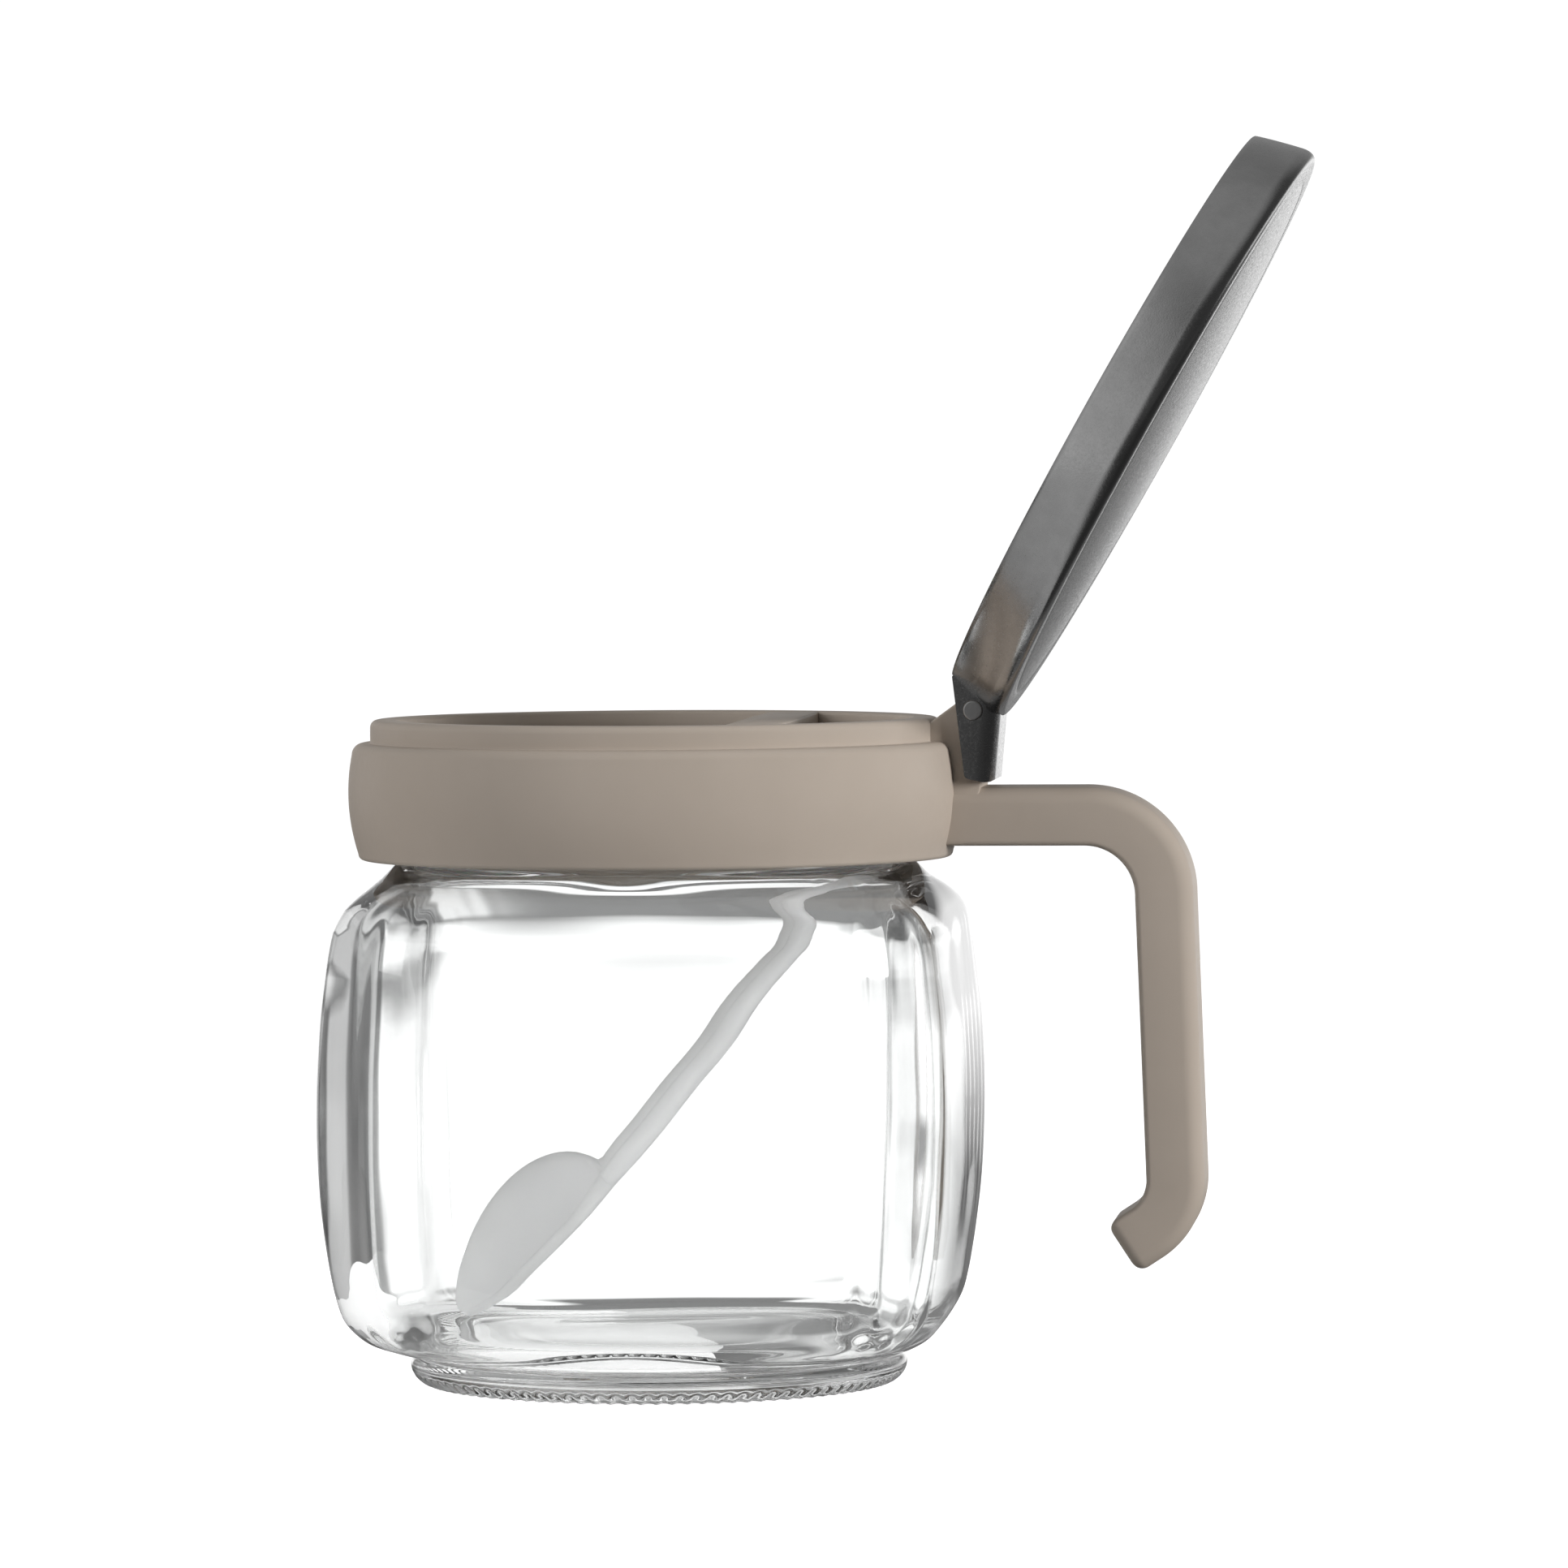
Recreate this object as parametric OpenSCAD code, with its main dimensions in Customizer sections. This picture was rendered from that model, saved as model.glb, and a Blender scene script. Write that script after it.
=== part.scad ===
// Spice jar: pressed glass jar with a screw collar, hooked handle,
// levelling bar, hinged steel lid and a loose spoon.
// Frame: origin at the centre of the foot on the resting plane,
// +Z up, +X towards the hinge and the handle. Millimetres.

/* [Glass jar] */
// Width of the glass body across its flat sides, at its fullest
jar_w = 76.8; // [75:0.2:78]
// Height of the glass from the resting plane to the mouth
jar_h = 76; // [75.5:0.25:77]
// Wall of the glass body
wall = 3.4; // [2.8:0.1:3.8]
// Height of the inside floor above the resting plane
floor_z = 5.75; // [5.5:0.25:6.5]
// Squareness of the body: 2 is round, higher is squarer
squareness = 7; // [5:0.5:9]
// Squareness of the hollow, whose corners are rounder than the outside
inside_square = 5.8; // [4.5:0.1:6.2]
// Outside radius of the neck below its threads
neck_r = 31.6; // [31.4:0.1:31.7]

/* [Thread] */
// Rise of the collar in one full turn
thread_lead = 8; // [7:0.5:9]
// Number of thread starts
thread_starts = 2; // [1:1:2]
// Height of the thread ridge above the neck
thread_h = 1.1; // [0.8:0.1:1.15]

/* [Collar] */
// Largest outside radius of the collar band
band_r = 37.25; // [36.9:0.05:37.4]
// Outside radius of the stepped upper rim
rim_r = 34.55; // [34.2:0.05:34.6]
// Radius of the opening inside the rim
rim_in = 31.1; // [30.5:0.1:31.4]
// Distance of the levelling bar's middle from the jar axis
bar_x = 14.4; // [12:0.2:16]
// Width of the levelling bar
bar_w = 6.2; // [5:0.2:7]

/* [Handle] */
// Width of the handle and its bend, across
handle_w = 13; // [11:0.5:15]
// Thickness of the handle in its plane
handle_t = 7; // [6:0.2:7.4]
// Distance of the grip's middle from the jar axis, at the top of the grip
grip_x = 62; // [60:0.5:64]
// Height at which the lower hook starts
hook_z = 25; // [22:0.5:28]

/* [Lid] */
// Opening angle of the lid, from closed to its stop
lid_open = 119.5; // [0:0.5:119.5]
// Sheet thickness of the lid
sheet = 0.5; // [0.4:0.05:0.6]
// Outside radius of the lid's shoulder
lid_r = 38.85; // [38.7:0.05:38.95]
// Distance of the hinge pin from the jar axis
pin_x = 39.2; // [39.1:0.1:39.6]
// Radius of the hinge pin
pin_r = 1.15; // [1:0.05:1.3]
// Half the distance between the lid's two hinge ears
ear_y = 7; // [6.8:0.1:7.6]

/* [Spoon] */
// Lean of the spoon's handle above the floor, in degrees
spoon_lean = 49.5; // [49:0.5:52]
// Length of the spoon's bowl
bowl_len = 27; // [24:0.5:28]
// Width of the spoon's bowl
bowl_w = 17; // [14:0.5:18]
// Length of the spoon's handle beyond the bowl
stem_len = 50.5; // [46:0.5:51]

/* [Hidden] */
$fn = 96;

half_w = jar_w / 2;
neck_in = neck_r - 2.6;          // inside radius of the neck
neck_z = 62.6;                   // where the shoulder meets the neck
seal_t = 1;                      // sealing ring thickness
gap = 0.1;                       // free play either side of the sealing ring
ledge_z = jar_h + seal_t + 2 * gap;
collar_z = jar_h - 12.3;         // lower edge of the collar
step_z = jar_h + 1.8;            // top of the band, foot of the rim
rim_z = jar_h + 4.6;             // top of the rim
bore_r = neck_r + 1.5;           // bore of the collar over the neck
pin_z = jar_h + 5.6;             // height of the hinge pin
sides = 72;                      // points round the glass body

// points on an arc in the plane
function arc(cx, cy, r, a0, a1, n) =
    [for (i = [0:n]) let (a = a0 + (a1 - a0) * i / n) [cx + r * cos(a), cy + r * sin(a)]];

// one rounded-square ring: half width h, squareness n, height z
function ring(h, n, z) =
    [for (i = [0:sides - 1])
        let (a = 360 * i / sides,
             r = h / pow(pow(abs(cos(a)), n) + pow(abs(sin(a)), n), 1 / n))
        [r * cos(a), r * sin(a), z]];

// triangles between consecutive rings of n points, closed at both ends
function skin(m, n) = concat(
    [[for (i = [0:n - 1]) i]],
    [for (j = [0:m - 2], i = [0:n - 1]) [j * n + i, (j + 1) * n + i, (j + 1) * n + (i + 1) % n]],
    [for (j = [0:m - 2], i = [0:n - 1]) [j * n + i, (j + 1) * n + (i + 1) % n, j * n + (i + 1) % n]],
    [[for (i = [n - 1:-1:0]) (m - 1) * n + i]]);

module loft(rings) {
    n = len(rings[0]);
    polyhedron(points = [for (r = rings) each r], faces = skin(len(rings), n), convexity = 6);
}

// ---- glass jar ---------------------------------------------------------

// outline of the body: share of the half width, height, squareness share
body_out = [
    [29.5, 3.7, 0], [31.4, 4.5, .08], [32.75, 5.3, .18], [34.05, 6.4, .36], [35.05, 7.8, .52],
    [35.85, 9.4, .68], [36.35, 11.6, .83], [36.8, 14.5, .95], [37.35, 18.5, 1], [37.9, 23.5, 1],
    [38.25, 29, 1], [38.4, 34.5, 1], [38.2, 40.5, 1], [37.85, 45.5, 1], [37.3, 50.3, 1], [36.85, 54, .95],
    [36.5, 56.3, .82], [35.75, 58.2, .62], [34.8, 59.6, .38], [33.8, 60.7, .2], [33.0, 61.6, .07],
    [32.4, 62.3, .02], [31.9, neck_z + .3, 0], [neck_r - .15, neck_z + 1.1, 0]];

// inside of the body, from the neck down to the floor
body_in = [
    [neck_in + .55, neck_z + 1.7, 0], [29.4, 63, 0], [30.3, 62, .05], [31.3, 61, .14], [31.95, 60.3, .26], [32.5, 59.5, .4],
    [33.05, 58.5, .56], [33.5, 57.5, .7], [33.95, 56, .85], [34.2, 54, .95], [34.55, 49, 1], [34.85, 43, 1],
    [35.0, 34.5, 1], [34.8, 27, 1], [34.5, 20.5, 1], [34.15, 15.5, .96], [33.7, 11.8, .85], [32.95, 9.4, .68],
    [31.8, 7.7, .5], [30.1, 6.6, .32], [27.9, 5.97, .16], [24.8, 5.75, .08]];

function at_w(r) = half_w * r / 38.4;
function round_n(k) = 2 + (squareness - 2) * k;
function round_in(k) = 2 + (inside_square - 2) * k;

module thread_ridge(root, crest, z0, turn, a0, low, high) {
    steps = ceil(turn / 6);
    rings = [for (k = [0:steps])
        let (t = turn * k / steps, a = a0 + t, z = z0 + thread_lead * t / 360,
             // the ridge runs out at both ends
             e = min(1, min(t, turn - t) / 18 + 0.08),
             c = root + (crest - root) * e)
        [for (p = crest > root
                ? [[root, -high], [root, high], [c, low], [c, -low]]
                : [[c, -low], [c, low], [root, high], [root, -high]])
            [p[0] * cos(a), p[0] * sin(a), z + p[1]]]];
    loft(rings);
}

module glass_jar() {
    color([0.86, 0.89, 0.89, 0.35]) union() {
        // body with its hollow, one continuous skin
        loft(concat(
            [for (p = body_out) ring(p[2] == 0 ? p[0] : at_w(p[0]), round_n(p[2]), p[1])],
            [for (p = body_in) ring(
                p[2] == 0 ? p[0] : at_w(p[0]) - (wall - 3.4),
                round_in(p[2]),
                p[1] < 10 ? p[1] + floor_z - 5.75 : p[1])]));
        // foot: raised base with a flat ring to stand on
        rotate_extrude() polygon([
            [0, 1.8], [23, 1.6], [24.2, 1.3], [25.4, .45], [26.2, 0], [28.2, 0], [29.3, .62], [29.8, 1.2],
            [30.1, 1.9], [30.15, 2.5], [29.95, 3], [29.5, 3.5], [29.1, 3.9], [28.8, 4.5], [0, 4.5]]);
        // neck with a rounded lip, its lower end eased into the shoulder
        rotate_extrude() polygon(concat(
            [[neck_in, neck_z + 1.6], [neck_in + .75, neck_z + .5], [neck_r, neck_z + .5]],
            arc(neck_r - .8, jar_h - .8, .8, 0, 90, 4),
            arc(neck_in + .8, jar_h - .8, .8, 90, 180, 4)));
        // screw thread
        for (s = [0:thread_starts - 1])
            thread_ridge(neck_r - .3, neck_r + thread_h, 67.2, 230, 20 + 360 * s / thread_starts, .5, .95);
    }
}

// ---- sealing ring ------------------------------------------------------

module sealing_ring() {
    color([0.88, 0.87, 0.84]) rotate_extrude()
        translate([neck_in + .5, jar_h + gap]) square([neck_r + 1.1 - neck_in - .5, seal_t]);
}

// ---- collar with bar, hinge lug and handle -----------------------------

// barrel-shaped outside of the band, drawn through its largest radius
function band_at(z) = band_r - 0.0213 * pow(z - (collar_z + 8.1), 2);

module collar_ring() {
    rotate_extrude() polygon(concat(
        [[bore_r + .3, collar_z], [band_at(collar_z + .6) - .5, collar_z]],
        [for (i = [0:12]) let (z = collar_z + .6 + (step_z - 2.1 - collar_z) * i / 12) [band_at(z), z]],
        arc(band_at(step_z - 1.4) - 1.4, step_z - 1.4, 1.4, 20, 90, 5),
        [[rim_r, step_z], [rim_r, rim_z - .9]],
        arc(rim_r - .9, rim_z - .9, .9, 20, 90, 4),
        arc(rim_in + .5, rim_z - .5, .5, 90, 180, 4),
        [[rim_in, ledge_z + 1.2], [neck_in + .4, ledge_z + 1.2], [neck_in + .4, ledge_z],
         [bore_r, ledge_z], [bore_r, collar_z + .3]]));
}

// middle line of the handle in the XZ plane: [x, z, heading in degrees]
bar_z = jar_h - 7.25;
bend_r = 9.6;
hook_r = 7.8;
hook_turn = 57;
grip_low = grip_x + 1.2;
lean = atan2(grip_low - grip_x, bar_z - bend_r - hook_z);
handle_path = concat(
    [[34.2, bar_z, 0]],
    [for (i = [0:8]) let (a = 90 - 90 * i / 8)
        [grip_x - bend_r + bend_r * cos(a), bar_z - bend_r + bend_r * sin(a), a - 90]],
    [for (i = [0:7]) let (a = -hook_turn * i / 7)
        [grip_low - hook_r + hook_r * cos(a), hook_z + hook_r * sin(a), a - 90]],
    [[grip_low - hook_r + hook_r * cos(hook_turn) - 3.4 * sin(hook_turn),
      hook_z - hook_r * sin(hook_turn) - 3.4 * cos(hook_turn), -90 - hook_turn]]);

// rounded rectangle, counter-clockwise: half sizes a, b and corner r
function pill(a, b, r) = concat(
    arc(a - r, b - r, r, 0, 90, 4), arc(r - a, b - r, r, 90, 180, 4),
    arc(r - a, r - b, r, 180, 270, 4), arc(a - r, r - b, r, 270, 360, 4));

module handle() {
    loft([for (p = handle_path)
        [for (q = pill(handle_t / 2, handle_w / 2, 1.9))
            // q[0] lies across the path in its plane, q[1] along Y
            [p[0] + q[0] * sin(p[2]), q[1], p[1] - q[0] * cos(p[2])]]]);
}

module hinge_lug() {
    lug_w = 2 * ear_y - .6;
    boss = 1.9;
    // from the rim's edge up to the boss, and down the back to the handle
    up = atan2(pin_z - (rim_z - .5), pin_x - 33.9) + asin(boss / norm([pin_x - 33.9, pin_z - (rim_z - .5)]));
    rotate([90, 0, 0]) translate([0, 0, -lug_w / 2]) linear_extrude(lug_w)
        polygon(concat(
            [[33.6, bar_z - 2], [pin_x - 2, bar_z - 2], [pin_x + .4, bar_z + 2], [pin_x + .9, bar_z + 4]],
            arc(pin_x, pin_z, boss, -12, 90 + up, 12),
            [[33.9, rim_z - .5], [33.6, rim_z - .5]]));
}

module screw_collar() {
    color([0.60, 0.56, 0.52]) difference() {
        union() {
            collar_ring();
            // levelling bar across the mouth
            intersection() {
                translate([bar_x - bar_w / 2, -rim_r, ledge_z]) cube([bar_w, 2 * rim_r, rim_z - ledge_z]);
                translate([0, 0, ledge_z]) cylinder(r = rim_in + .6, h = rim_z - ledge_z);
            }
            hinge_lug();
            handle();
            for (s = [0:thread_starts - 1])
                thread_ridge(bore_r + .4, neck_r + .35, 65.2, 200, 10 + 360 * s / thread_starts, .5, 1.05);
        }
        // hinge pin bore
        translate([pin_x, 0, pin_z]) rotate([90, 0, 0]) cylinder(r = pin_r, h = 3 * ear_y, center = true);
    }
}

// ---- hinge pin ---------------------------------------------------------

module hinge_pin() {
    color([0.62, 0.62, 0.62]) translate([pin_x, 0, pin_z]) rotate([90, 0, 0])
        cylinder(r = pin_r, h = 2 * ear_y + 2 * sheet + .5, center = true);
}

// ---- lid ---------------------------------------------------------------

// heights are measured from the hinge pin
skirt_low = -4.35;
lid_top = 3.35;                  // flat ring round the dome
dome = 1.1;                      // rise of the dome above that ring
slow = 2.8;                      // slow curve at the top of the skirt
tight = 1.05;                    // tight curve of the shoulder
// the skirt flares upwards, then slow curve, shoulder, flat ring and dome
function lid_half(t) =
    let (z_mid = lid_top - tight * (1 - sin(10)) - slow * sin(10),
         r_top = lid_r - slow + (slow - tight) * cos(10),
         r0 = r_top - 2.9)
    concat(
        [[lid_r - 1.5 - t, skirt_low], [lid_r - .73 - t, -1.5]],
        arc(lid_r - slow, z_mid, slow - t, -14, 10, 4),
        arc(r_top, lid_top - tight, tight - t, 14, 90, 5),
        [[r0, lid_top - t]],
        [for (i = [1:10]) let (k = 1 - i / 10) [r0 * k, lid_top - t + dome * (1 - k * k)]]);

module lid_closed() {
    inner = lid_half(sheet);
    difference() {
        union() {
            difference() {
                translate([0, 0, pin_z]) rotate_extrude()
                    polygon(concat(lid_half(0), [for (i = [len(inner) - 1:-1:0]) inner[i]]));
                // the skirt is open between the ears
                translate([30, -ear_y, pin_z - 6]) cube([12, 2 * ear_y, 6 + 2]);
            }
            // the two ears
            for (s = [-1, 1])
                translate([0, s * (ear_y + sheet / 2), 0]) rotate([90, 0, 0]) translate([pin_x, pin_z, -sheet / 2])
                    linear_extrude(sheet) polygon([
                        [-3.1, skirt_low + .3], [-2.3, skirt_low + .2], [6.9, 2.6], [7.5, 3.4], [7.3, 4.1],
                        [6.2, 5.9], [-1.6, 2.5], [-2.4, 2.5], [-3.1, 2.2]]);
            // thumb lever
            rotate([90, 0, 0]) translate([pin_x, pin_z, -ear_y - sheet]) linear_extrude(2 * ear_y + 2 * sheet)
                polygon([[-3.6, 2.9], [-3.4, 3.3], [-2.0, 3.25], [-1.2, 3.1], [5.8, 6.2], [6.5, 6.0], [6.9, 5.4],
                    [6.4, 5.1], [6.0, 5.6], [-1.1, 2.5], [-2.2, 2.7]]);
        }
        translate([pin_x, 0, pin_z]) rotate([90, 0, 0]) cylinder(r = pin_r + .06, h = 3 * ear_y, center = true);
    }
}

module steel_lid() {
    color([0.55, 0.55, 0.55])
        translate([pin_x, 0, pin_z]) rotate([0, lid_open, 0]) translate([-pin_x, 0, -pin_z]) lid_closed();
}

// ---- spoon -------------------------------------------------------------

spoon_tip = [-25.2, 0, floor_z + 1.2];
bowl_lean = spoon_lean - 5;
spoon_roll = 4;
stem_w = 3.2;

// middle line: the bowl, a short easy bend, then the straight stem
function spoon_turn(s) = bowl_lean + (spoon_lean - bowl_lean) * min(1, max(0, (s - bowl_len + 6) / 8));
function spoon_mid(s, step = 1) = s <= 0 ? [0, 0] :
    let (d = min(step, s), a = spoon_turn(s - d / 2), p = spoon_mid(s - d, step))
    [p[0] + d * cos(a), p[1] + d * sin(a)];

// the bowl is fullest towards the stem and pointed at its tip
function bowl_share(s) = s >= bowl_len ? 0 :
    let (v = pow(max(0, s) / bowl_len, 1.25)) 2 * sqrt(max(0, v * (1 - v)));
function spoon_w(s) = max(bowl_w / 2 * bowl_share(s), s > bowl_len / 2 ? stem_w : .9);
// 0 in the bowl, 1 on the stem
function spoon_ease(s) = let (u = min(1, max(0, (s - bowl_len * .75) / (bowl_len * .25 + 4)))) u * u * (3 - 2 * u);
function spoon_d(s) = max(.5 + .45 * spoon_ease(s), 8 * bowl_share(s));
function spoon_t(s) = 1.5 + 1.1 * spoon_ease(s);

// section of the spoon: the crowned back, then the hollow front
function spoon_ring(s) =
    let (w = spoon_w(s), d = spoon_d(s), t = spoon_t(s), lift = .45 * spoon_ease(s),
         a = spoon_turn(s), p = spoon_mid(s), wi = w * .93)
    [for (k = [19:-1:0])
        let (q = k < 10 ? -w + 2 * w * k / 9 : wi - 2 * wi * (k - 10) / 9,
             n = lift + (k < 10 ? d * (1 - pow(q / w, 2)) : d * (1 - pow(q / wi, 2)) - t),
             // roll about the spoon's own line
             qr = q * cos(spoon_roll) - n * sin(spoon_roll),
             nr = q * sin(spoon_roll) + n * cos(spoon_roll))
        [spoon_tip[0] + p[0] - nr * sin(a), spoon_tip[1] + qr, spoon_tip[2] + p[1] + nr * cos(a)]];

// stations along the spoon, close together at both ends of the bowl
spoon_at = concat(
    [for (i = [0:14]) bowl_len * (.5 - .494 * cos(180 * i / 14))],
    [for (k = [.04, .1, .25, .5, .75, .96, 1]) bowl_len + stem_len * k]);

module spoon() {
    color([0.93, 0.93, 0.93]) loft([for (s = spoon_at) spoon_ring(s)]);
}

glass_jar();
sealing_ring();
screw_collar();
hinge_pin();
steel_lid();
spoon();
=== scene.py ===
import bpy
import bmesh
import math
import numpy as np
from mathutils import Matrix, Vector


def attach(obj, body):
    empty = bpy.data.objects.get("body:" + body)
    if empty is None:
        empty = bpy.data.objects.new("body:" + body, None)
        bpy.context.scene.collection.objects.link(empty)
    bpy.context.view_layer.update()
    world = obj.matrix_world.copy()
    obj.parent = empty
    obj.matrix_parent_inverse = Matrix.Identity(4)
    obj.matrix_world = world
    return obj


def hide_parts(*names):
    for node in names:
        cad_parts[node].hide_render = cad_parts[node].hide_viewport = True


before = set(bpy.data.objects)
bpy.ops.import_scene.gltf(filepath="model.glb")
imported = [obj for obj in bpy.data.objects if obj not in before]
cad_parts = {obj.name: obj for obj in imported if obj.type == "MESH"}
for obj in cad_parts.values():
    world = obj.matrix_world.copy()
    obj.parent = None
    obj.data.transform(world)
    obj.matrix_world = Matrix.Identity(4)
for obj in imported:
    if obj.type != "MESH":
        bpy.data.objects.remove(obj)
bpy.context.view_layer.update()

MM = 0.001
TAU = 2 * math.pi

# ------------------------------------------------------------------ sizes, mm
JAR_H = 76.0
NECK_R = 31.6
NECK_IN = 29.0
NECK_Z = 62.6
FLOOR_Z = 5.75
LEAD = 8.0
COLLAR_Z = 63.7
STEP_Z = 77.8
RIM_Z = 80.6
BAND_R = 37.25
RIM_R = 34.55
RIM_IN = 31.1
LEDGE_Z = 77.2
BORE_R = 33.1
BAR_X = 14.4
BAR_W = 6.2
PIN = (39.2, 81.6)
PIN_R = 1.15
EAR_Y = 7.0
SHEET = 0.5
LID_R = 38.85
LID_LOW_R = 37.35
LID_TOP = 3.35
LID_ROUND = 1.05
DOME = 1.0
LID_OPEN = 119.5


# ------------------------------------------------------------------ mesh tools
def arc(cx, cy, r, a0, a1, n):
    t = np.radians(np.linspace(a0, a1, n + 1))
    return [(cx + r * math.cos(a), cy + r * math.sin(a)) for a in t]


def smooth_line(points, per=8):
    """A smooth curve through the points, `per` steps between each two."""
    p = np.array(points, float)
    d = np.linalg.norm(np.diff(p[:, :2], axis=0), axis=1)
    t = np.concatenate([[0], np.cumsum(np.maximum(d, 1e-6))])
    m = np.zeros_like(p)
    s = np.diff(p, axis=0) / np.diff(t)[:, None]
    m[0], m[-1] = s[0], s[-1]
    w0, w1 = np.diff(t)[1:, None], np.diff(t)[:-1, None]
    m[1:-1] = (s[:-1] * w0 + s[1:] * w1) / (w0 + w1)
    out = []
    for i in range(len(p) - 1):
        h = t[i + 1] - t[i]
        for k in range(per):
            u = k / per
            out.append(
                (2 * u**3 - 3 * u**2 + 1) * p[i]
                + (u**3 - 2 * u**2 + u) * h * m[i]
                + (-2 * u**3 + 3 * u**2) * p[i + 1]
                + (u**3 - u**2) * h * m[i + 1]
            )
    out.append(p[-1])
    return np.array(out)


def new_object(name, verts, faces, sharp=None):
    """A mesh object from points in millimetres."""
    me = bpy.data.meshes.new(name)
    me.from_pydata([tuple(v) for v in np.asarray(verts, float) * MM], [], [tuple(int(i) for i in f) for f in faces])
    me.update()
    bm = bmesh.new()
    bm.from_mesh(me)
    bmesh.ops.remove_doubles(bm, verts=bm.verts, dist=1e-8)
    bmesh.ops.recalc_face_normals(bm, faces=bm.faces)
    bm.to_mesh(me)
    bm.free()
    ob = bpy.data.objects.new(name, me)
    bpy.context.scene.collection.objects.link(ob)
    shade(ob, sharp)
    return ob


def shade(ob, sharp=None):
    me = ob.data
    me.polygons.foreach_set("use_smooth", np.ones(len(me.polygons), bool))
    if sharp is not None:
        me.set_sharp_from_angle(angle=math.radians(sharp))
    me.update()


def grid_faces(m, n, wrap_m=False):
    faces = []
    for i in range(m if wrap_m else m - 1):
        a, b = i * n, ((i + 1) % m) * n
        for j in range(n):
            k = (j + 1) % n
            faces.append((a + j, a + k, b + k, b + j))
    return faces


def lathe(name, profile, n=256, closed=True, bump=None, sharp=None):
    """A turned piece; profile is (radius, height) going up the outside."""
    pr = np.array(profile, float)
    th = np.linspace(0, TAU, n, endpoint=False)
    r = np.repeat(pr[:, :1], n, 1)
    z = np.repeat(pr[:, 1:2], n, 1)
    if bump is not None:
        r = r + bump(r, z, np.repeat(th[None], len(pr), 0))
    v = np.stack([r * np.cos(th), r * np.sin(th), z], -1).reshape(-1, 3)
    faces = grid_faces(len(pr), n, closed)
    return new_object(name, v, faces, sharp)


def loft(name, rings, caps=True, sharp=None):
    rings = np.asarray(rings, float)
    m, n = rings.shape[:2]
    v = rings.reshape(-1, 3)
    faces = grid_faces(m, n)
    if caps:
        faces.append(tuple(range(n))[::-1])
        faces.append(tuple((m - 1) * n + i for i in range(n)))
    return new_object(name, v, faces, sharp)


def prism(name, outline, y0, y1, bevel=0.0, sharp=35):
    """An outline in the XZ plane, drawn out along Y, with its edges eased."""
    o = np.array(outline, float)
    n = len(o)
    v = np.concatenate([np.c_[o[:, 0], np.full(n, y0), o[:, 1]], np.c_[o[:, 0], np.full(n, y1), o[:, 1]]])
    faces = [tuple(range(n)), tuple(range(2 * n - 1, n - 1, -1))]
    faces += [(i, (i + 1) % n, n + (i + 1) % n, n + i) for i in range(n)]
    ob = new_object(name, v, faces, sharp)
    if bevel:
        mod = ob.modifiers.new("ease", "BEVEL")
        mod.width = bevel * MM
        mod.segments = 3
        mod.limit_method = "ANGLE"
        mod.angle_limit = math.radians(40)
        apply(ob)
        shade(ob, sharp)
    return ob


def apply(ob):
    """Turns the object's modifiers into its mesh."""
    bpy.context.view_layer.update()
    dg = bpy.context.evaluated_depsgraph_get()
    me = bpy.data.meshes.new_from_object(ob.evaluated_get(dg))
    old = ob.data
    ob.modifiers.clear()
    ob.data = me
    bpy.data.meshes.remove(old)


def combine(ob, others, how):
    for o in others:
        mod = ob.modifiers.new(how, "BOOLEAN")
        mod.operation = how
        mod.solver = "EXACT"
        mod.object = o
        apply(ob)
        bpy.data.objects.remove(o)
    return ob


def clean(ob, dist=2e-6):
    bm = bmesh.new()
    bm.from_mesh(ob.data)
    bmesh.ops.remove_doubles(bm, verts=bm.verts, dist=dist)
    bmesh.ops.dissolve_degenerate(bm, edges=bm.edges, dist=dist)
    bm.to_mesh(ob.data)
    bm.free()


def thread(z, th, z0, turn, a0, low, high, depth):
    """Height of a two-start screw ridge at heights z and angles th."""
    out = np.zeros_like(z)
    for s in (0, 180):
        for wrap in (0, 360):
            t = np.degrees(th) + wrap - a0 - s
            mid = z0 + LEAD * t / 360
            on = (t >= 0) & (t <= turn)
            end = np.clip(np.minimum(t, turn - t) / 18 + 0.08, 0, 1)
            side = np.clip((high - np.abs(z - mid)) / (high - low), 0, 1)
            side = side * side * (3 - 2 * side)
            out = np.maximum(out, np.where(on, depth * end * side, 0))
    return out


# ------------------------------------------------------------------ materials
def material(name):
    m = bpy.data.materials.new(name)
    m.use_nodes = True
    nt = m.node_tree
    return m, nt, nt.nodes["Principled BSDF"]


def noise(nt, scale, detail=3.0, rough=0.55, kind="Object", stretch=None):
    tc = nt.nodes.new("ShaderNodeTexCoord")
    src = tc.outputs[kind]
    if stretch:
        mp = nt.nodes.new("ShaderNodeMapping")
        mp.inputs["Scale"].default_value = stretch
        nt.links.new(src, mp.inputs["Vector"])
        src = mp.outputs["Vector"]
    nz = nt.nodes.new("ShaderNodeTexNoise")
    nz.inputs["Scale"].default_value = scale
    nz.inputs["Detail"].default_value = detail
    nz.inputs["Roughness"].default_value = rough
    nt.links.new(src, nz.inputs["Vector"])
    return nz.outputs["Fac"]


def ramp(nt, fac, stops):
    r = nt.nodes.new("ShaderNodeValToRGB")
    e = r.color_ramp.elements
    while len(e) < len(stops):
        e.new(0.5)
    for el, (pos, col) in zip(e, stops):
        el.position = pos
        el.color = col if len(col) == 4 else (*col, 1)
    nt.links.new(fac, r.inputs["Fac"])
    return r.outputs["Color"]


def remap(nt, fac, lo, hi, a=0.25, b=0.75):
    r = nt.nodes.new("ShaderNodeMapRange")
    r.inputs["From Min"].default_value = a
    r.inputs["From Max"].default_value = b
    r.inputs["To Min"].default_value = lo
    r.inputs["To Max"].default_value = hi
    nt.links.new(fac, r.inputs["Value"])
    return r.outputs["Result"]


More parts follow.
